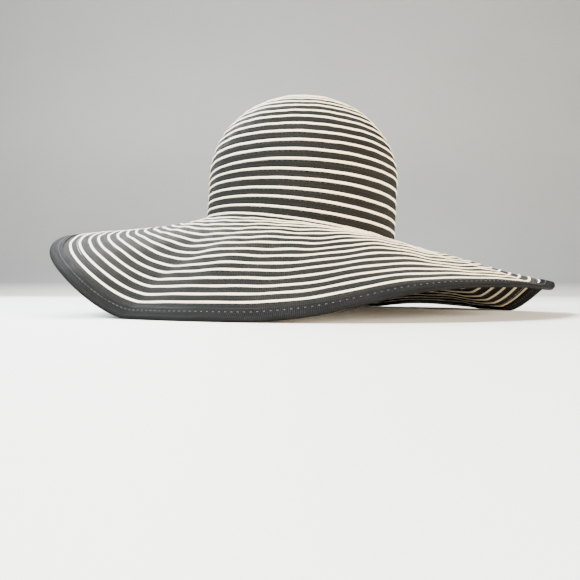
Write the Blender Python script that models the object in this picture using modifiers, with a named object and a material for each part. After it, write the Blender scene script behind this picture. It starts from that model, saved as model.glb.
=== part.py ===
"""A wide-brim sun hat of sewn ribbon braid, resting on the low places of its brim.

Units are metres, +Z is up and -Y is the hat's front. The hat is modelled about the
crown's own axis, then leant over until three low places of the edge touch the ground.
The origin is on the ground, under the middle of the hat's box.
"""
import itertools
import math

import bpy
import numpy as np
from mathutils import Matrix, Vector

# Driving dimensions, in metres
HEAD_WIDTH = 0.172        # crown, side to side, at the middle of its wall
HEAD_LENGTH = 0.189       # crown, front to back
SIDE_HEIGHT = 0.050       # straight side between the dome and the brim
BRIM_WIDTH = 0.134        # along the braid, from the crown to the edge
BRAID_WALL = 0.0012       # sewn braid, where one row laps the next
BINDING_WIDTH = 0.010     # how far the folded ribbon reaches in from the edge
BINDING_WALL = 0.0010     # folded ribbon
GAP = 0.0003              # between one piece and the next
PRESS = 0.0030            # how far the soft edge gives where it rests
SQUASH = 0.00025          # how much of the binding's fold is pressed flat

# Shape values that have no unit
DOME_FULLNESS = 1.16      # 1 is a half circle, more keeps the top flatter and the sides fuller
BASE_SLANT = 0.18         # the crown is this share deeper at its right side than at its middle
STEPS = 72                # sections round the hat
DOME_ROWS = 10
SIDE_ROWS = 3
BRIM_ROWS = 9
FOLD_FACES = 8            # round the outside of the binding's fold
INNER_FOLD_FACES = 4
LONGEST_STRIDE = 0.003    # metres, when a line is followed out along the brim

# Slopes of the brim in degrees below level, a row for each section round the hat.
# Azimuth 0 is the front and 90 the right side. The front and the back droop, the left
# side stands out nearly level, and the right side has a fold that runs out at 100.
AZIMUTH, AT_CROWN, MIDWAY, AT_EDGE = range(4)
BRIM_SECTIONS = [
    (0, 10, 39, 36),
    (20, 0, 28, 20),
    (40, 4, 21, 12),
    (60, 2, 17, 14),
    (80, 1, 12, 9),
    (100, -5, 28, 10),
    (120, 8, 20, 18),
    (140, 19, 18, 14),
    (160, 36, 24, 5),
    (180, 40, 22, 8),
    (200, 30, 15, 16),
    (220, 14, 14, 13),
    (240, 2, 8, 6),
    (260, 7, 5, 10),
    (280, 15, 13, 15),
    (300, 21, 26, 24),
    (320, 24, 44, 40),
    (340, 16, 44, 44),
]

# Colours: dark charcoal ribbon, and the blacker ribbon of the binding
RIBBON_COLOR = (0.045, 0.042, 0.040, 1.0)
BINDING_COLOR = (0.020, 0.020, 0.021, 1.0)


def remove_scene_objects():
    for thing in list(bpy.data.objects):
        bpy.data.objects.remove(thing, do_unlink=True)


def make_collection(name):
    collection = bpy.data.collections.new(name)
    bpy.context.scene.collection.children.link(collection)
    return collection


def make_material(name, color, roughness):
    material = bpy.data.materials.new(name)
    material.use_nodes = True
    shader = material.node_tree.nodes["Principled BSDF"]
    shader.inputs["Base Color"].default_value = color
    shader.inputs["Roughness"].default_value = roughness
    shader.inputs["Metallic"].default_value = 0.0
    return material


def smooth_between(values, place):
    """Value at a place on a closed ring of values, on a smooth curve through them all."""
    count = len(values)
    start = math.floor(place)
    f = place - start
    a, b, c, d = (values[(start + k) % count] for k in (-1, 0, 1, 2))
    return b + 0.5 * f * (c - a + f * (2 * a - 5 * b + 4 * c - d + f * (3 * (b - c) + d - a)))


def brim_slope(azimuth, share):
    """Slope of the brim in radians, at a share of its width out from the crown."""
    place = math.degrees(azimuth) / 360.0 * len(BRIM_SECTIONS)
    at_crown, midway, at_edge = (
        smooth_between([row[column] for row in BRIM_SECTIONS], place)
        for column in (AT_CROWN, MIDWAY, AT_EDGE)
    )
    inner = 2 * (share - 0.5) * (share - 1) * at_crown
    middle = 4 * share * (1 - share) * midway
    outer = 2 * share * (share - 0.5) * at_edge
    return math.radians(inner + middle + outer)


def base_height(azimuth):
    """Height of the seam between crown and brim, below the widest ring of the dome."""
    return -SIDE_HEIGHT * (1 + BASE_SLANT * math.sin(azimuth))


def brim_line(azimuth, reaches):
    """Points (out, up) and slopes of the brim's middle line at growing reaches from the crown."""
    out, up, here = 0.0, base_height(azimuth), 0.0
    line = []
    for reach in reaches:
        strides = math.ceil((reach - here) / LONGEST_STRIDE)
        step = (reach - here) / max(1, strides)
        for _ in range(strides):
            slope = brim_slope(azimuth, min(1.0, (here + step / 2) / BRIM_WIDTH))
            out += step * math.cos(slope)
            up -= step * math.sin(slope)
            here += step
        line.append((out, up, brim_slope(azimuth, min(1.0, reach / BRIM_WIDTH))))
    return line


def brim_point(azimuth, line_point, lift_off):
    """A point over the brim's middle line, in the crown's own frame."""
    out, up, slope = line_point
    out += lift_off * math.sin(slope)
    up += lift_off * math.cos(slope)
    seam = Vector((HEAD_WIDTH / 2 * math.sin(azimuth), -HEAD_LENGTH / 2 * math.cos(azimuth), 0))
    away = Vector((math.sin(azimuth) / HEAD_WIDTH, -math.cos(azimuth) / HEAD_LENGTH, 0)).normalized()
    return seam + away * out + Vector((0, 0, up))


def outline_points(azimuth, outline):
    """The places of an outline of (reach, lift_off) pairs, each measured along the brim."""
    reaches = sorted({reach for reach, _ in outline})
    line = dict(zip(reaches, brim_line(azimuth, reaches)))
    return [brim_point(azimuth, line[reach], lift_off) for reach, lift_off in outline]


def brim_outline():
    """Outline of one section of the brim: its top side outwards, then its underside back."""
    half = BRAID_WALL / 2
    bound = BRIM_WIDTH - BINDING_WIDTH
    reaches = [bound * row / BRIM_ROWS for row in range(BRIM_ROWS + 1)] + [BRIM_WIDTH]
    return [(reach, half) for reach in reaches] + [(reach, -half) for reach in reversed(reaches)]


def binding_outline():
    """Outline of one section of the binding, a ribbon folded over the brim's edge."""
    inner = BRAID_WALL / 2 + GAP
    outer = inner + BINDING_WALL
    start = BRIM_WIDTH - BINDING_WIDTH

    def fold(radius, faces):
        turns = [math.pi * k / faces for k in range(faces + 1)]
        return [(BRIM_WIDTH + radius * math.sin(t), radius * math.cos(t)) for t in turns]

    outside = [(start, outer)] + fold(outer, FOLD_FACES) + [(start, -outer)]
    inside = [(start, -inner)] + fold(inner, INNER_FOLD_FACES)[::-1] + [(start, inner)]
    return outside + inside


def resting_turn(points):
    """Rotation that stands three of the points on a level plane, with all the rest above it."""
    cloud = np.array(points)
    best = None
    for trio in itertools.combinations(range(len(cloud)), 3):
        a, b, c = cloud[list(trio)]
        normal = np.cross(b - a, c - a)
        if normal[2] < 0:
            a, b, c = a, c, b
            normal = -normal
        normal = normal / np.linalg.norm(normal)
        above = (cloud - a) @ normal
        sides = [(q[0] - p[0]) * -p[1] - (q[1] - p[1]) * -p[0] for p, q in ((a, b), (b, c), (c, a))]
        if above.min() > -1e-9 and min(sides) > 0:
            best = normal
    return Vector(best).rotation_difference(Vector((0, 0, 1))).to_matrix()


def azimuths():
    return [2 * math.pi * step / STEPS for step in range(STEPS)]


def rest_the_edge():
    """The hat's turn and drop at rest, and how far each section's edge is pushed up by the ground."""
    outline = binding_outline()
    rings = [outline_points(azimuth, outline) for azimuth in azimuths()]
    turn = Matrix.Identity(3)
    for _ in range(2):
        lowest = [min(ring, key=lambda point: (turn @ point).z) for ring in rings]
        turn = resting_turn(lowest)
    floors = [min((turn @ point).z for point in ring) for ring in rings]
    drop = min(floors) + PRESS
    lifts = [max(0.0, drop - floor - SQUASH) for floor in floors]
    return turn, drop, lifts


def loft(name, outline, material, collection, rest):
    """A closed ring through one outline at every azimuth, pressed up where it rests."""
    turn, drop, lifts = rest
    vertices = []
    for azimuth, lift in zip(azimuths(), lifts):
        for (reach, _), point in zip(outline, outline_points(azimuth, outline)):
            place = turn @ point
            share = min(1.0, reach / BRIM_WIDTH)
            place.z = max(0.0, place.z - drop + lift * share ** 2)
            vertices.append(place)
    # Every patch is split from its inner corner here to its outer corner at the next section,
    # so that surfaces that lie along each other bend alike and keep their gap.
    count = len(outline)
    faces = []
    for step in range(STEPS):
        near = step * count
        far = (step + 1) % STEPS * count
        for k in range(count):
            after = (k + 1) % count
            if outline[k][0] <= outline[after][0]:
                faces.append((near + k, near + after, far + after))
                faces.append((near + k, far + after, far + k))
            else:
                faces.append((near + k, near + after, far + k))
                faces.append((near + after, far + after, far + k))
    mesh = bpy.data.meshes.new(name)
    mesh.from_pydata(vertices, [], faces)
    mesh.materials.append(material)
    mesh.shade_smooth()
    mesh.set_sharp_from_angle(angle=math.radians(50))
    piece = bpy.data.objects.new(name, mesh)
    collection.objects.link(piece)
    return piece


def crown_profiles():
    """Half outlines of the dome, from its tip down, and of the side, down to the seam."""
    fine = 40
    out, up = 0.0, 0.0
    curve = [(out, up)]
    for step in range(DOME_ROWS * fine):
        slope = math.pi / 2 * ((step + 0.5) / (DOME_ROWS * fine)) ** DOME_FULLNESS
        out += math.cos(slope)
        up -= math.sin(slope)
        curve.append((out, up))
    size = HEAD_WIDTH / 2 / out
    dome = [(curve[row * fine][0] * size, (curve[row * fine][1] - up) * size) for row in range(DOME_ROWS + 1)]
    side = [(HEAD_WIDTH / 2, -SIDE_HEIGHT * row / SIDE_ROWS) for row in range(SIDE_ROWS + 1)]
    return dome, side


def turned_wall(name, profile, material, collection):
    """A wall turned from its half outline and drawn out to the oval of the head."""
    mesh = bpy.data.meshes.new(name + "_profile")
    edges = [(k, k + 1) for k in range(len(profile) - 1)]
    mesh.from_pydata([(out, 0, up) for out, up in profile], edges, [])
    turned = bpy.data.objects.new(name + "_profile", mesh)
    collection.objects.link(turned)
    screw = turned.modifiers.new("turn", "SCREW")
    screw.steps = STEPS
    screw.render_steps = STEPS
    screw.use_merge_vertices = True
    screw.merge_threshold = 0.00001
    screw.use_smooth_shade = True
    bpy.context.view_layer.update()
    evaluated = turned.evaluated_get(bpy.context.evaluated_depsgraph_get())
    shell = bpy.data.meshes.new_from_object(evaluated)
    bpy.data.objects.remove(turned, do_unlink=True)

    shell.transform(Matrix.Diagonal((1, HEAD_LENGTH / HEAD_WIDTH, 1, 1)))
    shell.name = name
    shell.materials.append(material)
    piece = bpy.data.objects.new(name, shell)
    collection.objects.link(piece)
    wall = piece.modifiers.new("wall", "SOLIDIFY")
    wall.thickness = BRAID_WALL
    wall.offset = 0.0
    wall.use_even_offset = True
    return piece


def make_crown(material, collection):
    """The crown's dome and its side, which ends below in a base that slants."""
    dome_outline, side_outline = crown_profiles()
    dome = turned_wall("crown_dome", dome_outline, material, collection)
    side = turned_wall("crown_side", side_outline, material, collection)
    seam_room = BRAID_WALL / 2 + GAP
    for vertex in side.data.vertices:
        azimuth = math.atan2(vertex.co.x / HEAD_WIDTH, -vertex.co.y / HEAD_LENGTH)
        depth = -base_height(azimuth) - seam_room
        share = -vertex.co.z / SIDE_HEIGHT
        vertex.co.z = -GAP - share * (depth - GAP)
    return dome, side


def centre_on_ground(pieces, collection):
    """Hangs the pieces on an empty that brings the middle of their box over the origin."""
    bpy.context.view_layer.update()
    depsgraph = bpy.context.evaluated_depsgraph_get()
    corners = []
    for piece in pieces:
        mesh = piece.evaluated_get(depsgraph).to_mesh()
        corners += [piece.matrix_world @ vertex.co for vertex in mesh.vertices]
    hub = bpy.data.objects.new("sun_hat_hub", None)
    collection.objects.link(hub)
    for axis in (0, 1):
        values = [corner[axis] for corner in corners]
        hub.location[axis] = -(min(values) + max(values)) / 2
    for piece in pieces:
        piece.parent = hub


def build_hat():
    remove_scene_objects()
    collection = make_collection("sun_hat")
    ribbon = make_material("ribbon_braid", RIBBON_COLOR, 0.75)
    binding = make_material("binding_ribbon", BINDING_COLOR, 0.80)
    rest = rest_the_edge()
    turn, drop, _ = rest
    dome, side = make_crown(ribbon, collection)
    for piece in (dome, side):
        piece.rotation_euler = turn.to_euler()
        piece.location = (0, 0, -drop)
    brim = loft("brim", brim_outline(), ribbon, collection, rest)
    edge = loft("edge_binding", binding_outline(), binding, collection, rest)
    centre_on_ground([dome, side, brim, edge], collection)


build_hat()
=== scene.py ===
# %% [markdown]
# # A sun hat sewn from one long ribbon
#
# The hat is one dark ribbon with a pale corded edge, wound round and round from the tip of
# the crown to the edge of the brim and sewn row to row, then bound with a wider black ribbon.
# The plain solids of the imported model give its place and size. They could be kept and given
# a striped material, but painted stripes look flat from close by, and the edge of such a hat
# shows every row. So each solid is replaced here by the cloth itself: the coiled ribbon, its
# cord, the stitches and the folded binding.

# %% Load the frame
import math

import bmesh
import bpy
import numpy as np
from mathutils import Matrix, Vector


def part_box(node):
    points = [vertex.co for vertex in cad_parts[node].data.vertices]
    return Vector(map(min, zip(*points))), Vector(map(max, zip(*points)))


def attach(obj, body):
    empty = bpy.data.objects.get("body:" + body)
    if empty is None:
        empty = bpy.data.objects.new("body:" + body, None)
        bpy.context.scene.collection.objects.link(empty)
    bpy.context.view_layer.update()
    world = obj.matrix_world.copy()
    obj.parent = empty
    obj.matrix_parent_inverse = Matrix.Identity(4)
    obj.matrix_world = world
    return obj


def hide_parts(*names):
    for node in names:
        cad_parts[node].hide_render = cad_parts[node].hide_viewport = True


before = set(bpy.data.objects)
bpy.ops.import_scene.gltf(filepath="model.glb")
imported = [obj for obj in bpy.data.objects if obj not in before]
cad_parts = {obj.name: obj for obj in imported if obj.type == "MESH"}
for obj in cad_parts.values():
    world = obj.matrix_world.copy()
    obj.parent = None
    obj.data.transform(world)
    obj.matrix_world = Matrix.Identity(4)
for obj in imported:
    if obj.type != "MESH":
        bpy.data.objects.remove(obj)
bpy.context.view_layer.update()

# %% [markdown]
# ## Camera
#
# The hat is seen level, from straight in front and close by, so the near edge of the brim
# looks much larger than the far one. A camera is a distance, a height and a lens, and could
# be set by eye in the viewport. Here the lens is a focal length in pixels of the picture,
# the measure that a photograph gives, and is turned into millimetres on the sensor, the
# measure that Blender's camera takes.

# %% Camera
PICTURE_SIZE = 580            # pixels, both ways
FOCAL_LENGTH = 628            # pixels
SENSOR_WIDTH = 36             # millimetres
CAMERA_DISTANCE = 0.586       # metres in front of the crown's middle
CAMERA_HEIGHT = 0.020         # metres above the floor
CAMERA_SIDE = -0.007          # metres to the right of the hat's middle


def add_object(name, data):
    """A new object in the scene."""
    thing = bpy.data.objects.new(name, data)
    bpy.context.scene.collection.objects.link(thing)
    return thing


camera_data = bpy.data.cameras.new("camera")
camera_data.sensor_width = SENSOR_WIDTH
camera_data.lens = SENSOR_WIDTH * FOCAL_LENGTH / PICTURE_SIZE
camera_data.clip_start = 0.01
camera = add_object("camera", camera_data)
camera.location = (CAMERA_SIDE, -CAMERA_DISTANCE, CAMERA_HEIGHT)
camera.rotation_euler = (math.pi / 2, 0, 0)
bpy.context.scene.camera = camera
print("lens in millimetres", round(camera_data.lens, 1))

# %% [markdown]
# ## Shape of the brim
#
# A wide brim is soft, and its own weight throws it into waves. It could be sculpted, or left
# to a cloth simulation, but then its waves fall where they like. Drawn as slopes it does
# what it is told: follow the braid out from the crown and say how steeply it falls near the
# crown, halfway out and at the edge. A table does that for eighteen directions round the
# hat, and a smooth curve through each column gives those between. Its slopes were fitted by
# a program to the rows and rim of the real hat and rounded to about a degree, and only the
# four at the front (320, 340, 0 and 20) were then changed.

# %% Sizes and brim sections
HEAD_WIDTH = 0.172            # metres, side to side
HEAD_LENGTH = 0.189           # front to back
SIDE_HEIGHT = 0.050           # straight side under the dome
BRIM_WIDTH = 0.134            # along the braid
DOME_FULLNESS = 1.16
BASE_SLANT = 0.18             # the crown is this share deeper at its right side
LEAN_BACK = math.radians(-2.763)   # how the crown leans when three low places touch the floor
LEAN_RIGHT = math.radians(3.461)
PRESS = 0.0030                # how far the soft edge gives where it rests

# azimuth, then how steeply the brim falls at the crown, midway and at the edge, in degrees
AZIMUTH, AT_CROWN, MIDWAY, AT_EDGE = range(4)
BRIM_SECTIONS = np.array([
    (0, 10, 39, 36),
    (20, 0, 28, 20),
    (40, 4, 21, 12),
    (60, 2, 17, 14),
    (80, 1, 12, 9),
    (100, -5, 28, 10),
    (120, 8, 20, 18),
    (140, 19, 18, 14),
    (160, 36, 24, 5),
    (180, 40, 22, 8),
    (200, 30, 15, 16),
    (220, 14, 14, 13),
    (240, 2, 8, 6),
    (260, 7, 5, 10),
    (280, 15, 13, 15),
    (300, 21, 26, 24),
    (320, 24, 44, 40),
    (340, 16, 44, 44),
], float)


def smooth_between(column, place):
    """Values at places on a closed ring of values, on a smooth curve through them all."""
    start = np.floor(place).astype(int)
    f = place - start
    a, b, c, d = (column[(start + k) % len(column)] for k in (-1, 0, 1, 2))
    return b + 0.5 * f * (c - a + f * (2 * a - 5 * b + 4 * c - d + f * (3 * (b - c) + d - a)))


print("brim sections", len(BRIM_SECTIONS), "degrees apart", BRIM_SECTIONS[1, AZIMUTH])

# %% [markdown]
# ## The crown's outline
#
# A crown sewn from ribbon is no half ball: it is flatter on top and turns down faster at its
# shoulder. A squashed sphere would show that too, but its rows would crowd together at the
# shoulder. Here the slope grows with the length along the braid, as a power of it, so that
# one number sets the fullness and the braid between any two rows keeps its length.

# %% Dome line
DOME_SAMPLES = 400


def dome_line():
    """Arc length, radius and drop below the tip along the dome."""
    share = np.linspace(0, 1, DOME_SAMPLES)
    slope = math.pi / 2 * share ** DOME_FULLNESS
    middle = (slope[1:] + slope[:-1]) / 2
    steps = np.diff(share)
    out = np.concatenate([[0], np.cumsum(np.cos(middle) * steps)])
    down = np.concatenate([[0], np.cumsum(np.sin(middle) * steps)])
    size = HEAD_WIDTH / 2 / out[-1]
    return share * size, out * size, down * size


dome_arc, dome_out, dome_down = dome_line()
DOME_ARC = dome_arc[-1]
CROWN_ARC = DOME_ARC + SIDE_HEIGHT
print("arc of the dome in millimetres", round(DOME_ARC * 1000, 1))

# %% [markdown]
# ## The sheet the ribbon is sewn into
#
# The rows of ribbon make one sheet of cloth, and all that is sewn on it has to follow it. A
# Shrinkwrap modifier could press pieces onto a hidden surface, but it loses track of where
# along the row a point is. So the sheet is worked out in numbers: from the seam between
# crown and brim, each meridian of the brim is followed outwards one millimetre at a time at
# the slopes of the table. The turn from the crown's side into the brim is eased over a few
# millimetres, as cloth turns.

# %% The sheet
GRID_STEP = 0.001             # metres
SEAM_EASE = 0.004             # metres on each side of the seam
MERIDIANS = 360
SPARE_STEPS = 6               # past the edge of the braid, for what is folded round it

azimuth_grid = np.arange(MERIDIANS + 1) * 2 * math.pi / MERIDIANS
first_step = -round(SEAM_EASE / GRID_STEP)
last_step = round(BRIM_WIDTH / GRID_STEP) + SPARE_STEPS
reach_grid = np.arange(first_step, last_step) * GRID_STEP


def base_height(azimuth):
    return -SIDE_HEIGHT * (1 + BASE_SLANT * np.sin(azimuth))


def brim_slope(azimuth, reach):
    place = azimuth / (2 * math.pi) * len(BRIM_SECTIONS)
    at_crown, midway, at_edge = (
        smooth_between(BRIM_SECTIONS[:, column], place) for column in (AT_CROWN, MIDWAY, AT_EDGE)
    )
    share = np.clip(reach / BRIM_WIDTH, 0, 1)
    brim = np.radians(
        2 * (share - 0.5) * (share - 1) * at_crown
        + 4 * share * (1 - share) * midway
        + 2 * share * (share - 0.5) * at_edge
    )
    ease = np.clip((reach + SEAM_EASE) / (2 * SEAM_EASE), 0, 1)
    ease = ease * ease * (3 - 2 * ease)
    return brim * ease + math.pi / 2 * (1 - ease)


def follow_meridians():
    """Out, up and slope of the brim's part of the sheet, for every azimuth and reach."""
    azimuth, reach = np.meshgrid(azimuth_grid, reach_grid, indexing="ij")
    slope = brim_slope(azimuth, reach)
    middle = (slope[:, 1:] + slope[:, :-1]) / 2
    start = np.zeros((len(azimuth_grid), 1))
    out = np.concatenate([start, np.cumsum(np.cos(middle) * GRID_STEP, 1)], 1)
    down = np.concatenate([start, np.cumsum(np.sin(middle) * GRID_STEP, 1)], 1)
    up = base_height(azimuth) - down + down[:, -first_step:-first_step + 1]
    return out, up, slope


sheet_out, sheet_up, sheet_slope = follow_meridians()
print("meridians", MERIDIANS, "steps along each", len(reach_grid))

# %% [markdown]
# ## A point of the sheet
#
# To sew anything on, one has to be able to ask where a place on the cloth is. The question
# has three parts: the azimuth round the hat, the distance along the braid from the seam
# (less than 0 on the crown), and how far to stand off the middle of the sheet. A search for
# the nearest point of a mesh could answer it, slowly and in small jumps. Reading the grid
# between its lines is quick and smooth, and works for thousands of points at once.

# %% Points of the sheet
def on_grid(values, azimuth, reach):
    """Reads a grid of the sheet between its lines."""
    a = (azimuth % (2 * math.pi)) / (2 * math.pi) * MERIDIANS
    r = np.clip((reach - reach_grid[0]) / GRID_STEP, 0, len(reach_grid) - 1.001)
    i, j = a.astype(int), r.astype(int)
    fa, fr = a - i, r - j
    near = values[i, j] * (1 - fr) + values[i, j + 1] * fr
    far = values[i + 1, j] * (1 - fr) + values[i + 1, j + 1] * fr
    return near * (1 - fa) + far * fa


def sheet_point(azimuth, distance, lift_off):
    """Points of the sheet in the crown's own frame, as rows of x, y, z."""
    on_crown = distance < -SEAM_EASE
    arc = np.clip(CROWN_ARC + distance, 0, None)
    on_side = np.clip((arc - DOME_ARC) / SIDE_HEIGHT, 0, None)
    crown_out = np.interp(arc, dome_arc, dome_out)
    on_dome_up = dome_down[-1] - np.interp(arc, dome_arc, dome_down)
    crown_up = np.where(on_side > 0, base_height(azimuth) * on_side, on_dome_up)
    crown_slope = math.pi / 2 * np.clip(arc / DOME_ARC, 0, 1) ** DOME_FULLNESS

    reach = np.clip(distance, -SEAM_EASE, None)
    past = np.clip(distance - reach_grid[-2], 0, None)
    out = np.where(on_crown, 0, on_grid(sheet_out, azimuth, reach))
    up = np.where(on_crown, crown_up, on_grid(sheet_up, azimuth, reach))
    slope = np.where(on_crown, crown_slope, on_grid(sheet_slope, azimuth, reach))
    out = out + past * np.cos(slope) + lift_off * np.sin(slope)
    up = up - past * np.sin(slope) + lift_off * np.cos(slope)

    radius = np.where(on_crown, crown_out, HEAD_WIDTH / 2)
    x, y = np.sin(azimuth), -np.cos(azimuth)
    away_x, away_y = x / HEAD_WIDTH, y / HEAD_LENGTH
    length = np.hypot(away_x, away_y)
    return np.stack([
        radius * x + out * away_x / length,
        radius * y * HEAD_LENGTH / HEAD_WIDTH + out * away_y / length,
        up,
    ], -1)


front_seam = sheet_point(np.zeros(1), np.zeros(1), 0)[0]
print("front of the seam in millimetres", np.round(front_seam * 1000, 1))

# %% [markdown]
# ## Resting on the floor
#
# A real hat that is put down stands on the low places of its brim, here three, and they
# give a little under its weight. A simulation would find that too, and would change with
# every setting. Here the whole sheet is leant over by two small angles and let down until
# the edge would sink a few millimetres into the floor. Then each meridian is pushed back up,
# most at the edge and not at all at the crown, which is what soft cloth does.

# %% Rest
BINDING_WALL = 0.0006         # metres
BINDING_MIDDLE = 0.00115      # from the middle of the braid to the middle of the binding's wall
EDGE_HALF = BINDING_MIDDLE + BINDING_WALL / 2

CAD_EDGE_HALF = 0.0019        # half the thickness of the model's own binding
FOLD_POINTS = 13              # round half a turn

turn = np.array(Matrix.Rotation(LEAN_RIGHT, 3, "Y") @ Matrix.Rotation(LEAN_BACK, 3, "X"))


def edge_fold(azimuth, half):
    """The outside of the folded edge, as points in the crown's frame for each azimuth."""
    turns = np.linspace(0, math.pi, FOLD_POINTS)
    around = np.repeat(azimuth[:, None], len(turns), 1)
    reach = BRIM_WIDTH + half * np.sin(turns) + 0 * around
    return sheet_point(around, reach, half * np.cos(turns) + 0 * around) @ turn.T


solid_edge = edge_fold(azimuth_grid, CAD_EDGE_HALF).reshape(-1, 3)
edge_low, edge_high = solid_edge.min(0), solid_edge.max(0)
box_low, box_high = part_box("edge_binding")
drop = edge_low[2] + PRESS
across, back = ((box_low[k] + box_high[k] - edge_low[k] - edge_high[k]) / 2 for k in (0, 1))
shift = np.array([across, back, -drop])
floor_gap = edge_fold(azimuth_grid, EDGE_HALF)[..., 2].min(1) - drop
lift_grid = np.clip(-floor_gap, 0, None)
print("shift in millimetres", np.round(shift * 1000, 2), "largest lift", round(lift_grid.max() * 1000, 2))

# %% [markdown]
# ## Small ripples
#
# Sewing row to row never leaves a sheet quite smooth. Between the big waves it ripples by up
# to a millimetre, most in the middle of the brim, where nothing holds it. A displacement by
# noise could do that, but ribbon, cord and thread are separate pieces and would each ripple
# by themselves. Three crossing waves added to the sheet move all that is sewn on it
# together. With them the sheet is complete: leant over, rippled and pushed up by the floor.

# %% Ripples
BRIM_RIPPLE = 0.00045         # metres
CROWN_RIPPLE = 0.00016
RIPPLE_MIDDLE = 0.060         # metres from the seam, where the brim ripples most
RIPPLE_REACH = 0.074
SEAM_CALM = 0.02              # metres of the crown over which the ripples grow from the seam
TIP_CALM = 0.05               # and over which they die away towards the tip


def ripple(azimuth, distance):
    """How far the sewn rows wave off the sheet, most in the middle of the brim."""
    waves = (
        np.sin(9 * azimuth + 60 * distance + 0.4)
        + 0.7 * np.sin(17 * azimuth - 95 * distance + 2.0)
        + 0.5 * np.sin(31 * azimuth + 140 * distance + 1.1)
    )
    on_brim = np.clip(1 - ((distance - RIPPLE_MIDDLE) / RIPPLE_REACH) ** 2, 0, 1)
    from_seam = np.clip(-distance / SEAM_CALM, 0, 1)
    on_crown = from_seam * np.clip((CROWN_ARC + distance) / TIP_CALM, 0, 1)
    return waves * (BRIM_RIPPLE * on_brim + CROWN_RIPPLE * on_crown)


def hat_point(azimuth, distance, lift_off):
    """Points of the sheet where the hat rests."""
    lift_off = lift_off + ripple(azimuth, distance)
    points = sheet_point(azimuth, distance, lift_off) @ turn.T + shift
    share = np.clip(distance / BRIM_WIDTH, 0, 1)
    points[..., 2] += np.interp(azimuth % (2 * math.pi), azimuth_grid, lift_grid) * share ** 2
    return points


front_edge = hat_point(np.zeros(1), np.full(1, BRIM_WIDTH), 0)[0]
print("front of the edge in millimetres", np.round(front_edge * 1000, 1))

# %% [markdown]
# ## Tools for materials
#
# A material is a small program drawn as nodes: numbers go in at the left, colour and relief
# come out at the right. It can be wired by hand in the Shader Editor. In a script a few
# helpers keep it readable: one that starts a node group with named sockets, one for a sum or
# a product, and one for noise. All patterns here read one UV map, measured in metres, U
# along the ribbon and V across it, because ribs and dye belong to the cloth and turn with it.

# %% Node helpers
CLOTH_MAP = "cloth"


def add_group(name, inputs, outputs):
    """A node group with named sockets, its input node and its output node."""
    group = bpy.data.node_groups.new(name, "ShaderNodeTree")
    for label, kind, value in inputs:
        socket = group.interface.new_socket(label, in_out="INPUT", socket_type=kind)
        if value is not None:
            socket.default_value = value
    for label, kind in outputs:
        group.interface.new_socket(label, in_out="OUTPUT", socket_type=kind)
    return group, group.nodes.new("NodeGroupInput"), group.nodes.new("NodeGroupOutput")


def add_math(tree, operation, first, second=None):
    """One sum, product or the like; first and second are numbers or sockets."""
    node = tree.nodes.new("ShaderNodeMath")
    node.operation = operation
    for socket, value in zip(node.inputs, (first, second)):
        if isinstance(value, (int, float)):
            socket.default_value = value
        elif value is not None:
            tree.links.new(value, socket)
    return node.outputs[0]


def add_noise(tree, place, scale, detail):
    """Noise from 0 to 1 at a place; scale is its patches to the metre."""
    node = tree.nodes.new("ShaderNodeTexNoise")
    node.inputs["Scale"].default_value = scale
    node.inputs["Detail"].default_value = detail
    tree.links.new(place, node.inputs["Vector"])
    return node.outputs["Fac"]


print("patterns read the map named", CLOTH_MAP)

# %% [markdown]
# ## Woven ribs
#
# A ribbon of this kind is woven with thick threads across and fine ones along, so that it
# shows ribs. A brick texture could be squeezed into ribs, but its lines are too hard. Two
# sine waves are softer and closer to thread: a strong one along the ribbon for the ribs and
# a weak one across it, both pushed about a little by noise. With a slant the same ribs are
# the turns of a twisted cord. Every cloth and thread uses them, so they are a node group.

# %% Woven ribs
WANDER_SCALE = 300            # patches to the metre
RIB_DEPTH = 0.35
# the grooves of the weave below this height get painted shade
GROOVE_SHADE_LEVEL = 0.9            # heights below this darken


def make_rib_group():
    """Ribs across or slanting over a ribbon, crossed by its lengthwise threads, and the painted shade
    that darkens the grooves between them.
    """
    group, given, result = add_group(
        "woven ribs",
        [
            ("Place", "NodeSocketVector", None),
            ("Rib Spacing", "NodeSocketFloat", 0.001),
            ("Slant", "NodeSocketFloat", 0.0),
            ("Thread Spacing", "NodeSocketFloat", 0.0004),
            ("Thread Depth", "NodeSocketFloat", 0.25),
            ("Unevenness", "NodeSocketFloat", 0.5),
        ],
        [("Height", "NodeSocketFloat"), ("Groove Shade", "NodeSocketFloat")],
    )
    place = given.outputs["Place"]
    parts = group.nodes.new("ShaderNodeSeparateXYZ")
    group.links.new(place, parts.inputs[0])
    wander = add_math(group, "SUBTRACT", add_noise(group, place, WANDER_SCALE, 2), 0.5)
    wander = add_math(group, "MULTIPLY", wander, given.outputs["Unevenness"])
    slanted = add_math(group, "MULTIPLY", parts.outputs["Y"], given.outputs["Slant"])
    along = add_math(group, "ADD", parts.outputs["X"], slanted)
    turns = add_math(group, "ADD", add_math(group, "DIVIDE", along, given.outputs["Rib Spacing"]), wander)
    ribs = add_math(group, "SINE", add_math(group, "MULTIPLY", turns, 2 * math.pi))
    threads = add_math(group, "DIVIDE", parts.outputs["Y"], given.outputs["Thread Spacing"])
    threads = add_math(group, "ADD", threads, wander)
    threads = add_math(group, "SINE", add_math(group, "MULTIPLY", threads, 2 * math.pi))
    threads = add_math(group, "MULTIPLY", threads, given.outputs["Thread Depth"])
    height = add_math(group, "ADD", add_math(group, "MULTIPLY", ribs, RIB_DEPTH), threads)
    height = add_math(group, "ADD", height, 0.5)
    group.links.new(height, result.inputs["Height"])
    # painted shade: the deeper the weave lies below that level, the darker its colour
    depth = add_math(group, "MAXIMUM", add_math(group, "SUBTRACT", GROOVE_SHADE_LEVEL, height), 0.0)
    groove_shade = add_math(group, "POWER", depth, 2.0)
    group.links.new(groove_shade, result.inputs["Groove Shade"])
    return group


RIBS = make_rib_group()
print("node group", RIBS.name)

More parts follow.
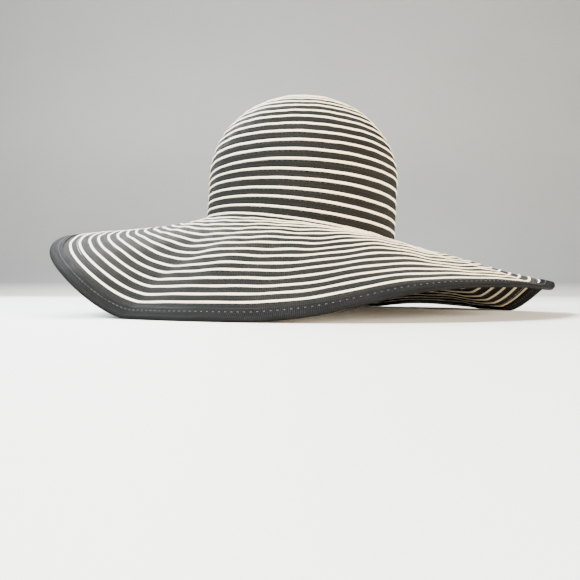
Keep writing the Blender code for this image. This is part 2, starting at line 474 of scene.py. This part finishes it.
# %% [markdown]
# ## Uneven dye
#
# Dyed cloth is never one colour. Plain noise gives round clouds, which look like dirt. Yarn
# is dyed by the length, so the noise is stretched into streaks along the ribbon, and a finer
# noise adds specks of lint. This too is one node group, with the streaks' size as its inputs.

# %% Uneven dye
STREAK_CONTRAST = 2.6
LINT_SCALE = 1800             # patches to the metre
LINT_LEVEL = 0.70             # only noise above this shows as lint
LINT_CONTRAST = 8.0


def make_dye_group():
    """Uneven dye in long soft streaks, with finer flecks of lint."""
    group, given, result = add_group(
        "uneven dye",
        [
            ("Place", "NodeSocketVector", None),
            ("Streak Length", "NodeSocketFloat", 0.03),
            ("Streak Width", "NodeSocketFloat", 0.0015),
        ],
        [("Streaks", "NodeSocketFloat"), ("Lint", "NodeSocketFloat")],
    )
    place = given.outputs["Place"]
    parts = group.nodes.new("ShaderNodeSeparateXYZ")
    group.links.new(place, parts.inputs[0])
    joined = group.nodes.new("ShaderNodeCombineXYZ")
    for axis, size in (("X", "Streak Length"), ("Y", "Streak Width")):
        share = add_math(group, "DIVIDE", parts.outputs[axis], given.outputs[size])
        group.links.new(share, joined.inputs[axis])
    streaks = add_math(group, "SUBTRACT", add_noise(group, joined.outputs[0], 1.0, 3), 0.5)
    streaks = add_math(group, "MULTIPLY", streaks, STREAK_CONTRAST)
    streaks = add_math(group, "ADD", streaks, 0.5)
    lint = add_math(group, "SUBTRACT", add_noise(group, place, LINT_SCALE, 1), LINT_LEVEL)
    lint = add_math(group, "MULTIPLY", lint, LINT_CONTRAST)
    for value, label in ((streaks, "Streaks"), (lint, "Lint")):
        clamp = group.nodes.new("ShaderNodeClamp")
        group.links.new(value, clamp.inputs["Value"])
        group.links.new(clamp.outputs[0], result.inputs[label])
    return group


DYE = make_dye_group()
print("node group", DYE.name)

# %% [markdown]
# ## A recipe for cloth
#
# The ribbon, the cord and the binding are all matt woven fibre. Each could have a material
# drawn by hand, but they differ only in numbers, so one function makes them: two shades of
# dye in streaks, painted shade in the grooves of the weave, a little lint, and a bump for ribs
# too fine to model. A little sheen gives the pale bloom of fibres where the light grazes them.

# %% Cloth recipe
ROUGHNESS_SPREAD = 0.14       # between the smoothest streak and the roughest
BUMP_STRENGTH = 0.9
SHEEN_ROUGHNESS = 0.35


def use_group(material, group, values):
    """The group as a node of this material, reading the cloth's own map."""
    tree = material.node_tree
    node = tree.nodes.new("ShaderNodeGroup")
    node.node_tree = group
    uv = tree.nodes.new("ShaderNodeUVMap")
    uv.uv_map = CLOTH_MAP
    tree.links.new(uv.outputs["UV"], node.inputs["Place"])
    for label, value in values.items():
        node.inputs[label].default_value = value
    return node


def mix_colors(tree, amount, first, second):
    """A colour between two, each of them a tuple or a socket."""
    node = tree.nodes.new("ShaderNodeMix")
    node.data_type = "RGBA"
    tree.links.new(amount, node.inputs["Factor"])
    for socket, value in ((node.inputs[6], first), (node.inputs[7], second)):
        if isinstance(value, tuple):
            socket.default_value = value
        else:
            tree.links.new(value, socket)
    return node.outputs[2]


def make_cloth(name, light, dark, groove_shade, lint, rough, ribs, dye, bump_depth, sheen, shine):
    """A matt woven cloth; light, dark and lint are its colours, and one more is painted shade in the
    grooves of its weave.
    """
    material = bpy.data.materials.new(name)
    material.use_nodes = True
    tree = material.node_tree
    shader = tree.nodes["Principled BSDF"]
    rib = use_group(material, RIBS, ribs)
    wear = use_group(material, DYE, dye)
    streaked = mix_colors(tree, wear.outputs["Streaks"], light, dark)
    # painted shade: the colour is darkened in the grooves of the weave
    groove_shaded = mix_colors(tree, rib.outputs["Groove Shade"], streaked, groove_shade)
    colored = mix_colors(tree, wear.outputs["Lint"], groove_shaded, lint)
    tree.links.new(colored, shader.inputs["Base Color"])
    spread = add_math(tree, "MULTIPLY", wear.outputs["Streaks"], ROUGHNESS_SPREAD)
    roughness = add_math(tree, "ADD", spread, rough - ROUGHNESS_SPREAD / 2)
    tree.links.new(roughness, shader.inputs["Roughness"])
    bump = tree.nodes.new("ShaderNodeBump")
    bump.inputs["Strength"].default_value = BUMP_STRENGTH
    bump.inputs["Distance"].default_value = bump_depth
    tree.links.new(rib.outputs["Height"], bump.inputs["Height"])
    tree.links.new(bump.outputs["Normal"], shader.inputs["Normal"])
    shader.inputs["Sheen Weight"].default_value = sheen
    shader.inputs["Sheen Roughness"].default_value = SHEEN_ROUGHNESS
    shader.inputs["Specular IOR Level"].default_value = shine
    return material


print("cloth uses", RIBS.name, "and", DYE.name)

# %% [markdown]
# ## The hat's cloths
#
# The long ribbon is a black that has gone a little brown, its corded edge is undyed, and the
# binding is a more even black, its ribs square across. Their colours could be picked from a
# picture, but a picture has the light in it already. So they are set darker and plainer than
# they look, and compared with the hat once the lights are on.

# %% Cloth materials
# In each cloth the colour given for the grooves of the weave is painted shade.
dark_ribbon = make_cloth(
    "dark ribbon",
    light=(0.0120, 0.0115, 0.0090, 1), dark=(0.0042, 0.0044, 0.0042, 1), groove_shade=(0.002, 0.002, 0.002, 1),
    lint=(0.04, 0.037, 0.034, 1), rough=0.66,
    ribs={
        "Rib Spacing": 0.0012, "Slant": 0.15, "Thread Spacing": 0.0013, "Thread Depth": 0.09,
        "Unevenness": 0.3,
    },
    dye={"Streak Length": 0.07, "Streak Width": 0.0011},
    bump_depth=0.00040, sheen=0.03, shine=0.05,
)
pale_cord = make_cloth(
    "pale cord",
    light=(0.90, 0.81, 0.62, 1), dark=(0.86, 0.72, 0.49, 1), groove_shade=(0.34, 0.28, 0.20, 1),
    lint=(0.92, 0.90, 0.86, 1), rough=0.55,
    ribs={
        "Rib Spacing": 0.0018, "Slant": 1.0, "Thread Spacing": 0.0009, "Thread Depth": 0.08,
        "Unevenness": 0.2,
    },
    dye={"Streak Length": 0.08, "Streak Width": 0.003},
    bump_depth=0.00028, sheen=0.10, shine=0.30,
)
binding_cloth = make_cloth(
    "binding ribbon",
    light=(0.0078, 0.0074, 0.0069, 1), dark=(0.0048, 0.0046, 0.0044, 1), groove_shade=(0.002, 0.002, 0.002, 1),
    lint=(0.06, 0.06, 0.06, 1), rough=0.65,
    ribs={
        "Rib Spacing": 0.0013, "Slant": 0.0, "Thread Spacing": 0.0012, "Thread Depth": 0.10,
        "Unevenness": 0.2,
    },
    dye={"Streak Length": 0.025, "Streak Width": 0.002},
    bump_depth=0.00032, sheen=0.0, shine=0.03,
)
print("cloth materials", dark_ribbon.name, pale_cord.name, binding_cloth.name)

# %% [markdown]
# ## Thread
#
# The sewing thread is plain twisted polyester, black along the rows and grey on the binding,
# with a few strays as pale as the cord. Two strands wound together could be modelled, but at
# a third of a millimetre nobody would see them. So a thread is the same cloth recipe, with
# slanting ribs at the fineness of thread and a shinier surface.

# %% Thread materials
def make_thread(name, light, dark):
    # the grooves of a thread get painted shade, four tenths of its dark colour
    return make_cloth(
        name, light=light, dark=dark, groove_shade=tuple(value * 0.4 for value in dark[:3]) + (1,),
        lint=light, rough=0.45,
        ribs={
            "Rib Spacing": 0.0006, "Slant": 0.8, "Thread Spacing": 0.0005, "Thread Depth": 0.05,
            "Unevenness": 0.1,
        },
        dye={"Streak Length": 0.02, "Streak Width": 0.001},
        bump_depth=0.00008, sheen=0.1, shine=0.45,
    )


black_thread = make_thread("black thread", (0.030, 0.028, 0.026, 1), (0.015, 0.014, 0.013, 1))
grey_thread = make_thread("grey thread", (0.11, 0.11, 0.11, 1), (0.075, 0.074, 0.072, 1))
pale_thread = make_thread("pale thread", (0.62, 0.58, 0.52, 1), (0.48, 0.44, 0.38, 1))
print("thread materials", black_thread.name, grey_thread.name, pale_thread.name)

# %% [markdown]
# ## Rows
#
# The rows are counted outwards from the seam, and a row's number can be any fraction: row
# 2.5 is half a turn past row 2. Separate rings could stand in for rows, but then no row
# would lead into the next. Counting this way makes the whole spiral one line, and two short
# formulas say how far out it is and in which direction. Hands guide the ribbon under the
# needle, so the spacing wanders a little.

# %% Rows
ROW_PITCH = 0.00795           # metres from one row to the next
CROWN_ROWS = CROWN_ARC / ROW_PITCH
BRIM_ROWS = BRIM_WIDTH / ROW_PITCH
SPIRAL_START = math.radians(260)   # so that the outer row leaves the binding at the right front
SLOW_WANDER = 0.00020         # metres
QUICK_WANDER = 0.00013


def row_distance(rows):
    """Distance of a row's cord from the seam; rows count outwards, less than 0 on the crown."""
    slow = SLOW_WANDER * np.sin(rows * 9.1)
    quick = QUICK_WANDER * np.sin(rows * 23.7 + 1.3)
    return rows * ROW_PITCH + slow + quick


def row_azimuth(rows):
    """Azimuth of a place on the spiral, which runs outwards clockwise as seen from above."""
    return SPIRAL_START - 2 * math.pi * rows


def pucker(rows):
    """Small waves along a ribbon, from -1 to 1, where the stitches draw it up."""
    return (
        0.5 * np.sin(rows * 191 + 0.7)
        + 0.3 * np.sin(rows * 83 + 1.47)
        + 0.2 * np.sin(rows * 317)
    )


print("rows on the crown", round(CROWN_ROWS, 1), "rows on the brim", round(BRIM_ROWS, 1))

# %% [markdown]
# ## Walking along the coil
#
# Ribbon, cord and thread all have to be cut into steps of even length, though a turn at the
# edge is a hundred times as long as one at the tip. Even steps of the row's number would be
# far too coarse at the edge or too fine at the tip. So the line is measured once, in
# metres, and then walked by length, with shorter steps in the tight turns near the tip.

# %% Coil
STEP = 0.003                  # metres along a ribbon or cord
SHORTEST_STEP = 0.0004
TURN_STEP = 0.14              # longest step as a share of the distance from the tip
SAMPLES_A_ROW = 240
FEWEST_SAMPLES = 200


class Coil:
    """A line wound round the hat: its rows, its length at each, and a pace for its steps."""

    def __init__(self, first, last, offset=0.0):
        samples = max(FEWEST_SAMPLES, round((last - first) * SAMPLES_A_ROW))
        self.rows = np.linspace(first, last, samples)
        distance = row_distance(self.rows) + offset
        points = hat_point(row_azimuth(self.rows), distance, 0 * self.rows)
        gaps = np.linalg.norm(np.diff(points, axis=0), axis=1)
        stride = np.clip((CROWN_ARC + distance[1:]) * TURN_STEP, SHORTEST_STEP, STEP) / STEP
        self.lengths = np.concatenate([[0], np.cumsum(gaps)])
        self.pace = np.concatenate([[0], np.cumsum(gaps / stride)])

    def steps(self, step):
        return max(2, round(self.pace[-1] / step))

    def at(self, along):
        """Row and length at a share of the pace."""
        pace = along * self.pace[-1]
        return np.interp(pace, self.pace, self.rows), np.interp(pace, self.pace, self.lengths)


print("metres once round the seam", round(Coil(0, 1).lengths[-1], 3))

# %% [markdown]
# ## A strip of cloth, coiled
#
# A ribbon is woven flat and is bent only when it is sewn. A curve with a flat bevel could
# stand in for it, but a curve twists as it likes, and here each edge has to meet the next
# row. So a ribbon starts as what it is, a long flat grid with its length along X and its
# width along Y, and each point then goes to its place on the hat. Along the strip the place
# is counted in rows from the seam, across it in metres from the cord. The flat measure stays
# on the strip as its UV map. A tube is the same strip with its two long edges brought
# together and its ends closed.

# %% Strips and tubes
SAME_POINT = 1e-6             # metres; closer points of a tube's two long edges are one


def smooth_object(name, bm):
    """Turns a finished mesh into a smooth object."""
    mesh = bpy.data.meshes.new(name)
    bm.to_mesh(mesh)
    bm.free()
    mesh.shade_smooth()
    return add_object(name, mesh)


def make_strip(name, steps, across, place, closed=False):
    """A long grid whose points are put in place by a function of (share along, share across)."""
    bm = bmesh.new()
    bmesh.ops.create_grid(bm, x_segments=steps, y_segments=across, size=0.5)
    mesh = bpy.data.meshes.new("flat strip")
    bm.to_mesh(mesh)
    flat = np.zeros(len(mesh.vertices) * 3)
    mesh.vertices.foreach_get("co", flat)
    flat = flat.reshape(-1, 3) + 0.5
    points, uv = place(flat[:, 0], flat[:, 1])
    mesh.vertices.foreach_set("co", points.ravel())
    corner = np.zeros(len(mesh.loops), np.int32)
    mesh.loops.foreach_get("vertex_index", corner)
    mesh.uv_layers.new(name=CLOTH_MAP).data.foreach_set("uv", uv[corner].ravel())
    bm.clear()
    bm.from_mesh(mesh)
    bpy.data.meshes.remove(mesh)
    if closed:
        bmesh.ops.remove_doubles(bm, verts=bm.verts, dist=SAME_POINT)
        bmesh.ops.holes_fill(bm, edges=[edge for edge in bm.edges if edge.is_boundary], sides=0)
        bmesh.ops.recalc_face_normals(bm, faces=bm.faces)
    return smooth_object(name, bm)


def make_tube(name, coil, step, sides, width, line):
    """A tube along a coil; line(rows, length) gives its distance, lift and half height."""
    def place(along, across):
        here, length = coil.at(along)
        middle, lift, height = line(here, length)
        around = 2 * math.pi * across
        distance = middle + width * np.cos(around)
        points = hat_point(row_azimuth(here), distance, lift + height * np.sin(around))
        return points, np.stack([length, around * width], -1)

    print(name, "metres long", round(coil.lengths[-1], 3))
    return make_strip(name, coil.steps(step), sides, place, closed=True)


def add_wall(piece, thickness):
    """Gives a strip its thickness, half to each side."""
    wall = piece.modifiers.new("wall", "SOLIDIFY")
    wall.thickness = thickness
    wall.offset = 0


def finish_piece(piece, material, slot, *nodes):
    """Dresses a piece, hangs it under the root and hides the solids it stands for; slot is not used."""
    piece.data.materials.append(material)
    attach(piece, "root")
    if nodes:
        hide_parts(*nodes)
    print(piece.name, "faces", len(piece.data.polygons))


print("strips carry the map named", CLOTH_MAP)

# %% [markdown]
# ## The dark ribbon
#
# Between two cords lies the dark woven ribbon, 5.5 millimetres of it showing. On the real
# hat it runs on unbroken. Rings would be easier, but a ring can't climb from one row to the
# next, so it is a true spiral: one strip from the tip to the seam for the crown, and another
# from the seam to the edge for the brim. It bulges slightly between its stitched edges and
# puckers a little along them. A Solidify modifier gives it its thickness, because a strip of
# cloth is as thick at its edges as in its middle.

# %% Dark ribbon
CORD_HALF_WIDTH = 0.00122     # metres
CORD_HALF_HEIGHT = 0.00095
RIBBON_WALL = 0.0006
RIBBON_BULGE = 0.00012        # how far its middle rises
RIBBON_PUCKER = 0.00012       # how far its edges wave
RIBBON_FACES = 6              # across its width
TUCK = CORD_HALF_WIDTH * 0.4  # how far its edges run in under the cords
TIP_HOLE = 0.0002             # left open at the very tip
TIP_ROWS = 0.12               # the first row starts this far from the very tip
EDGE_ROWS = 0.12              # and the last one ends this far from the edge


def make_ribbon(name, first, last):
    coil = Coil(first, last, -ROW_PITCH / 2)

    def place(along, across):
        here, length = coil.at(along)
        inner = np.maximum(row_distance(here - 1) + TUCK, -CROWN_ARC + TIP_HOLE)
        distance = inner + (row_distance(here) - TUCK - inner) * across
        bulge = np.sin(math.pi * across)
        lift = RIBBON_BULGE * bulge + RIBBON_PUCKER * pucker(here) * (1 - 0.5 * bulge)
        return hat_point(row_azimuth(here), distance, lift), np.stack([length, distance - inner], -1)

    print(name, "metres long", round(coil.lengths[-1], 3))
    piece = make_strip(name, coil.steps(STEP), RIBBON_FACES, place)
    add_wall(piece, RIBBON_WALL)
    return piece


crown_ribbon = make_ribbon("crown_ribbon", -CROWN_ROWS + TIP_ROWS, 0.0)
finish_piece(crown_ribbon, dark_ribbon, "ribbon_braid", "crown_dome", "crown_side")
brim_ribbon = make_ribbon("brim_ribbon", 0.0, BRIM_ROWS - EDGE_ROWS)
finish_piece(brim_ribbon, dark_ribbon, "ribbon_braid", "brim")

# %% [markdown]
# ## The pale cord
#
# The ribbon's edge is a pale twisted cord that stands a little proud of the dark weave on
# both sides, which is why such a hat looks whiter from a low angle. A pale stripe in the
# ribbon's material would lose that, so the cord is a tube of its own, wider than high. Where
# the last row runs in under the binding, the cord is squeezed flatter.

# %% Pale cord
BINDING_WIDTH = 0.0102        # metres in from the edge, above and below
CORD_SIDES = 8
CORD_PUCKER = 0.00008
SQUEEZE_LENGTH = 0.003        # metres over which the binding presses the cord flat
SQUEEZE_SHARE = 0.3           # of its height
CORD_BREAK = -0.5             # the row where the crown's cord ends and the brim's begins
CORD_END = BRIM_ROWS - 0.3    # hidden in the binding


def cord_line(rows, length):
    distance = row_distance(rows)
    before_binding = BRIM_WIDTH - BINDING_WIDTH - SQUEEZE_LENGTH
    under = np.clip((distance - before_binding) / SQUEEZE_LENGTH, 0, 1)
    height = CORD_HALF_HEIGHT * (1 - SQUEEZE_SHARE * under)
    return distance, CORD_PUCKER * pucker(rows), height


def make_cord(name, first, last):
    return make_tube(name, Coil(first, last), STEP, CORD_SIDES, CORD_HALF_WIDTH, cord_line)


crown_cord = make_cord("crown_cord", -CROWN_ROWS + TIP_ROWS, CORD_BREAK)
finish_piece(crown_cord, pale_cord, "ribbon_braid")
brim_cord = make_cord("brim_cord", CORD_BREAK, CORD_END)
finish_piece(brim_cord, pale_cord, "ribbon_braid")

# %% [markdown]
# ## The stitches along the rows
#
# Each row is sewn to the last with a line of stitches just outside the cord. Thousands of
# small capsules set along the row would do, and would be heavy. A real machine's thread goes
# on without a break, so one thin tube runs the whole way round. Its lift swings from above
# the ribbon to below it and back, and it shows as a dash on top, then a dash underneath.

# %% Row stitches
STITCH_LENGTH = 0.0042        # metres
THREAD_RADIUS = 0.00016
STITCH_OFFSET = 0.0019        # outwards from the middle of the cord
STITCH_LIFT = RIBBON_WALL / 2 + RIBBON_BULGE * 0.6 + 0.00006   # just proud of the ribbon
STITCH_PASS = 3.5             # how sharply the thread turns down through the cloth
CROWN_STITCHED = (-CROWN_ROWS + 1, -0.5)   # first and last row
BRIM_STITCHED = (0.0, BRIM_ROWS - 1.6)


def stitch_swing(length, sharpness):
    """From 1 above the cloth to -1 below it, with short passes between."""
    return np.tanh(sharpness * np.sin(2 * math.pi * length / STITCH_LENGTH))


def make_stitches(name, first, last):
    """A thread that passes through the cloth and back beside the cord."""
    def line(here, length):
        lift = STITCH_LIFT * stitch_swing(length, STITCH_PASS)
        return row_distance(here) + STITCH_OFFSET, lift, THREAD_RADIUS

    coil = Coil(first, last, STITCH_OFFSET)
    return make_tube(name, coil, STITCH_LENGTH / 6, 3, THREAD_RADIUS, line)


finish_piece(make_stitches("crown_stitches", *CROWN_STITCHED), black_thread, "ribbon_braid")
finish_piece(make_stitches("brim_stitches", *BRIM_STITCHED), black_thread, "ribbon_braid")

# %% [markdown]
# ## Loose threads
#
# A hat sewn as fast as this has threads that came astray: here and there a pale one lies
# beside a cord for part of a turn. They could be scattered at random, but a few placed one by
# one look like accidents, and a crowd of them looks like a pattern. So their places are a
# short table, and each is a very thin tube along the same coil as the cord.

# %% Loose threads
# first row, rows long, metres from the cord, side (1 top, -1 underside)
STRAY_THREADS = [
    (15.2, 0.50, -0.0026, -1),
    (12.7, 0.35, 0.0024, -1),
    (8.6, 0.30, -0.0024, -1),
    (5.1, 0.45, 0.0026, -1),
    (3.4, 0.25, -0.0025, -1),
    (13.9, 0.20, 0.0025, 1),
    (-3.8, 0.15, 0.0024, 1),
]
STRAY_RADIUS = 0.00013        # metres
STRAY_STEP = 0.004
STRAY_WAVER = 0.0003
STRAY_LIFT = RIBBON_WALL / 2 + 0.00016


def make_stray(name, first, extent, offset, side):
    """A thread lying beside a cord, wavering a little."""
    def line(here, length):
        waver = STRAY_WAVER * np.sin(here * 40)
        return row_distance(here) + offset + waver, side * STRAY_LIFT, STRAY_RADIUS

    coil = Coil(first, first + extent, offset)
    return make_tube(name, coil, STRAY_STEP, 4, STRAY_RADIUS, line)


for number, (first, extent, offset, side) in enumerate(STRAY_THREADS, 1):
    stray = make_stray(f"stray_thread_{number}", first, extent, offset, side)
    finish_piece(stray, pale_thread, "ribbon_braid")

# %% [markdown]
# ## Knots
#
# Where the machine was stopped and started again, a tiny lump of thread is left on the
# cloth. A real knot is a knotted curve, but at a millimetre only its outline shows. So each
# is a small ball, drawn out along the row, roughened a little and laid on the sheet. Its own
# directions are found from three points of the sheet.

# %% Knots
# row, metres from the cord, side (1 top, -1 underside)
KNOTS = [
    (-3.10, -0.0010, 1),
    (-18.70, 0.0009, 1),
    (-9.35, 0.0010, 1),
    (6.45, 0.0011, 1),
    (10.20, -0.0012, -1),
]
KNOT_RADIUS = 0.0006          # metres
KNOT_LIFT = 0.0008
KNOT_SHAPE = (1.3, 0.9, 0.7)  # along the row, across it, up
KNOT_ROUGHNESS = 0.0001


def make_knot(name, row, offset, side):
    """A small lump of thread pulled tight, a ball drawn out along the row."""
    bm = bmesh.new()
    bmesh.ops.create_uvsphere(bm, u_segments=10, v_segments=7, radius=KNOT_RADIUS)
    bmesh.ops.scale(bm, verts=bm.verts, vec=KNOT_SHAPE)
    for vertex in bm.verts:
        wave = math.sin(vertex.co.x * 9000 + vertex.co.y * 7000)
        vertex.co += vertex.normal * KNOT_ROUGHNESS * wave
    azimuth = np.array([row_azimuth(row), row_azimuth(row) + 0.01])
    distance = np.full(2, row_distance(np.array(row)) + offset)
    foot = hat_point(azimuth, distance, 0 * azimuth)
    top = hat_point(azimuth, distance, 0 * azimuth + side * KNOT_LIFT)
    along = Vector(foot[1] - foot[0]).normalized()
    up = Vector(top[0] - foot[0]).normalized()
    turned = Matrix((along, up.cross(along), up)).transposed().to_4x4()
    bmesh.ops.transform(bm, verts=bm.verts, matrix=Matrix.Translation(Vector(top[0])) @ turned)
    uv = bm.loops.layers.uv.new(CLOTH_MAP)
    for face in bm.faces:
        for loop in face.loops:
            loop[uv].uv = (loop.vert.co.x, loop.vert.co.y)
    return smooth_object(name, bm)


for number, (row, offset, side) in enumerate(KNOTS, 1):
    finish_piece(make_knot(f"knot_{number}", row, offset, side), pale_thread, "ribbon_braid")

# %% [markdown]
# ## The bound edge
#
# A black ribbed ribbon is folded over the raw edge of the braid and sewn down. A thick rim
# swept round the edge would hide the folded look, and its inner edges would not lie on the
# braid. So it is made as it is sewn: a strip once round the hat, its width laid out along
# the underside, round the fold and back over the top. Its two ends overlap for a centimetre
# at the back.

# %% Binding
BINDING_CUT = 0.024           # metres, the width of the ribbon laid flat
BINDING_STEPS = 450
BINDING_FACES = 22            # across its width
FOLD_SHARE = 0.16             # the share of its width that goes round the fold
OVERLAP = 0.009               # turns
LAP_RISE = OVERLAP / 4        # turns over which the last end climbs onto the first
BINDING_START = math.radians(190)   # the overlap is at the back
LAP_LIFT = BINDING_WALL + 0.00005   # how far the ribbon's last end stands on its first
BINDING_SETTLE = 0.00025      # how far its inner edges are drawn down
SETTLE_FROM = 0.7             # and from which share of the way in from the fold
BINDING_WAVER = 0.00007


def lap_lift(turns):
    """Extra lift of the ribbon's wall, which rises just before one full turn."""
    return LAP_LIFT * np.clip((turns - 1) / LAP_RISE + 1, 0, 1)


def make_binding():
    """The ribbon from its edge underneath, round the fold, to its edge on top."""
    turns = np.linspace(0, 1 + OVERLAP, BINDING_STEPS + 1)
    ring = hat_point(BINDING_START - 2 * math.pi * turns, BRIM_WIDTH + 0 * turns, 0 * turns)
    lengths = np.concatenate([[0], np.cumsum(np.linalg.norm(np.diff(ring, axis=0), axis=1))])

    def place(along, across):
        here = along * (1 + OVERLAP)
        azimuth = BINDING_START - 2 * math.pi * here
        side = (across - 0.5) * 2
        angle = np.clip(side / FOLD_SHARE, -1, 1) * math.pi / 2
        flat = np.clip((np.abs(side) - FOLD_SHARE) / (1 - FOLD_SHARE), 0, 1)
        radius = BINDING_MIDDLE + lap_lift(here)
        reach = BRIM_WIDTH - flat * BINDING_WIDTH + radius * np.cos(angle)
        settle = BINDING_WAVER * np.sin(azimuth * 61) * flat
        settle = settle - BINDING_SETTLE * np.clip((flat - SETTLE_FROM) / (1 - SETTLE_FROM), 0, 1)
        lift = radius * np.sin(angle) + settle * np.sign(side)
        uv = np.stack([np.interp(here, turns, lengths), across * BINDING_CUT], -1)
        return hat_point(azimuth, reach, lift), uv

    print("edge_binding_ribbon metres long", round(lengths[-1], 3))
    piece = make_strip("edge_binding_ribbon", BINDING_STEPS, BINDING_FACES, place)
    add_wall(piece, BINDING_WALL)
    return piece


finish_piece(make_binding(), binding_cloth, "binding_ribbon", "edge_binding")

# %% [markdown]
# ## The binding's stitches
#
# One line of grey thread goes through all the layers of the bound edge. It is the row
# stitches again, closer to the edge and standing off further, since the binding is thick.
# Painted dashes would need no mesh, but they would not catch the light as thread does. Where
# the ribbon's ends overlap the thread has one layer more to pass, so it lies higher there.

# %% Binding stitches
BINDING_SEAM = 0.0062         # metres in from the edge
BINDING_THREAD = 0.0002       # half its thickness
BINDING_PASS = 5
BINDING_STITCH_LIFT = EDGE_HALF + 0.00002   # just proud of the binding


def make_binding_stitches():
    """One turn of thread at an even distance from the edge."""
    def line(here, length):
        turns = (BINDING_START - row_azimuth(here)) / (2 * math.pi) % 1
        over_lap = lap_lift(np.where(turns < OVERLAP, 1, turns))
        lift = (BINDING_STITCH_LIFT + over_lap) * stitch_swing(length, BINDING_PASS)
        return BRIM_WIDTH - BINDING_SEAM, lift, BINDING_THREAD

    coil = Coil(BRIM_ROWS - 1.5, BRIM_ROWS - 0.5)
    return make_tube("binding_stitches", coil, STITCH_LENGTH / 8, 4, BINDING_THREAD, line)


finish_piece(make_binding_stitches(), grey_thread, "binding_ribbon")

# %% [markdown]
# ## Floor
#
# In a studio, paper lies under the thing being shown and sweeps up behind it, so that no
# edge crosses the picture. Two planes would meet in a hard line. One profile is extruded sideways
# instead, flat at the front, round in the bend and upright behind. The paper is pale where
# the hat stands, and greyer above as painted shade, so that the pale rows stand out against it.

# %% Floor
FLOOR_SIZE = 6.0              # metres
SWEEP_START = 1.6
SWEEP_RADIUS = 0.8
SWEEP_HEIGHT = 3.0
BEND_STEPS = 16


def make_floor():
    """A profile of floor, bend and backdrop, extruded sideways."""
    bm = bmesh.new()
    profile = [(-FLOOR_SIZE / 2, 0), (SWEEP_START, 0)]
    for k in range(1, BEND_STEPS + 1):
        t = math.pi / 2 * k / BEND_STEPS
        profile.append((SWEEP_START + SWEEP_RADIUS * math.sin(t), SWEEP_RADIUS * (1 - math.cos(t))))
    profile.append((SWEEP_START + SWEEP_RADIUS, SWEEP_HEIGHT))
    line = [bm.verts.new((-FLOOR_SIZE / 2, y, z)) for y, z in profile]
    edges = [bm.edges.new(pair) for pair in zip(line, line[1:])]
    swept = bmesh.ops.extrude_edge_only(bm, edges=edges)
    far = [item for item in swept["geom"] if isinstance(item, bmesh.types.BMVert)]
    bmesh.ops.translate(bm, verts=far, vec=(FLOOR_SIZE, 0, 0))
    bmesh.ops.recalc_face_normals(bm, faces=bm.faces)
    return smooth_object("floor", bm)


floor = make_floor()
print("floor faces", len(floor.data.polygons))

# %% [markdown]
# ## The floor's finish
#
# The paper is matt, with a faint cloudiness. One flat colour would do for it, but would look
# like nothing at all. The height above the floor mixes a pale tone into a greyer one, painted
# shade for the backdrop, over the first few centimetres of the bend, so that one sheet serves
# as floor and as backdrop.

# %% Floor finish
# between these heights the paper's pale colour gives way to the backdrop's painted shade
FLOOR_TONE_TOP = 0.002        # metres up, where the floor's tone ends
BACKDROP_SHADE_FOOT = 0.05     # and where the backdrop's begins


def make_floor_material():
    material = bpy.data.materials.new("pale floor")
    material.use_nodes = True
    tree = material.node_tree
    shader = tree.nodes["Principled BSDF"]
    coordinates = tree.nodes.new("ShaderNodeTexCoord")
    noise = add_noise(tree, coordinates.outputs["Object"], 3, 3)
    floor_tone = mix_colors(tree, noise, (0.72, 0.70, 0.66, 1), (0.77, 0.75, 0.71, 1))
    # painted shade: the backdrop is given a greyer colour than the floor
    backdrop_painted_shade = mix_colors(tree, noise, (0.27, 0.27, 0.265, 1), (0.31, 0.31, 0.30, 1))
    parts = tree.nodes.new("ShaderNodeSeparateXYZ")
    tree.links.new(coordinates.outputs["Object"], parts.inputs[0])
    backdrop_shade_mix = tree.nodes.new("ShaderNodeMapRange")
    backdrop_shade_mix.inputs["From Min"].default_value = FLOOR_TONE_TOP
    backdrop_shade_mix.inputs["From Max"].default_value = BACKDROP_SHADE_FOOT
    tree.links.new(parts.outputs["Z"], backdrop_shade_mix.inputs["Value"])
    color = mix_colors(tree, backdrop_shade_mix.outputs["Result"], floor_tone, backdrop_painted_shade)
    tree.links.new(color, shader.inputs["Base Color"])
    shader.inputs["Roughness"].default_value = 0.6
    return material


floor.data.materials.append(make_floor_material())
print("floor finish", floor.data.materials[0].name)

# %% [markdown]
# ## Light
#
# The daylight in a room comes from broad windows, with soft-edged shadows. A sun lamp would
# be harder and a world image would bring in a room of its own, so three large discs do it: a
# cool one at the upper left, one behind that gives the brim its bright top, and a warm one
# low at the right that reaches in under the brim. A pale world fills what is left.

# %% Light
MIDDLE = (0, 0, 0.08)
# name, place, size, watts, colour
LIGHTS = [
    ("key", (-1.2, -0.6, 1.3), 1.0, 210, (0.86, 0.95, 1.0)),
    ("back", (-0.5, 1.2, 1.2), 1.0, 80, (0.93, 0.96, 1.0)),
    ("warm", (1.3, -1.4, 0.40), 0.8, 165, (1.0, 0.87, 0.69)),
]

for name, place, size, watts, color in LIGHTS:
    data = bpy.data.lights.new(name, "AREA")
    data.shape = "DISK"
    data.size = size
    data.energy = watts
    data.color = color
    light = add_object(name, data)
    light.location = place
    light.rotation_euler = (Vector(MIDDLE) - Vector(place)).to_track_quat("-Z", "Y").to_euler()

world = bpy.data.worlds.new("studio")
world.use_nodes = True
world.node_tree.nodes["Background"].inputs["Color"].default_value = (0.86, 0.88, 0.90, 1)
world.node_tree.nodes["Background"].inputs["Strength"].default_value = 0.55
bpy.context.scene.world = world
print("lights", len(LIGHTS))
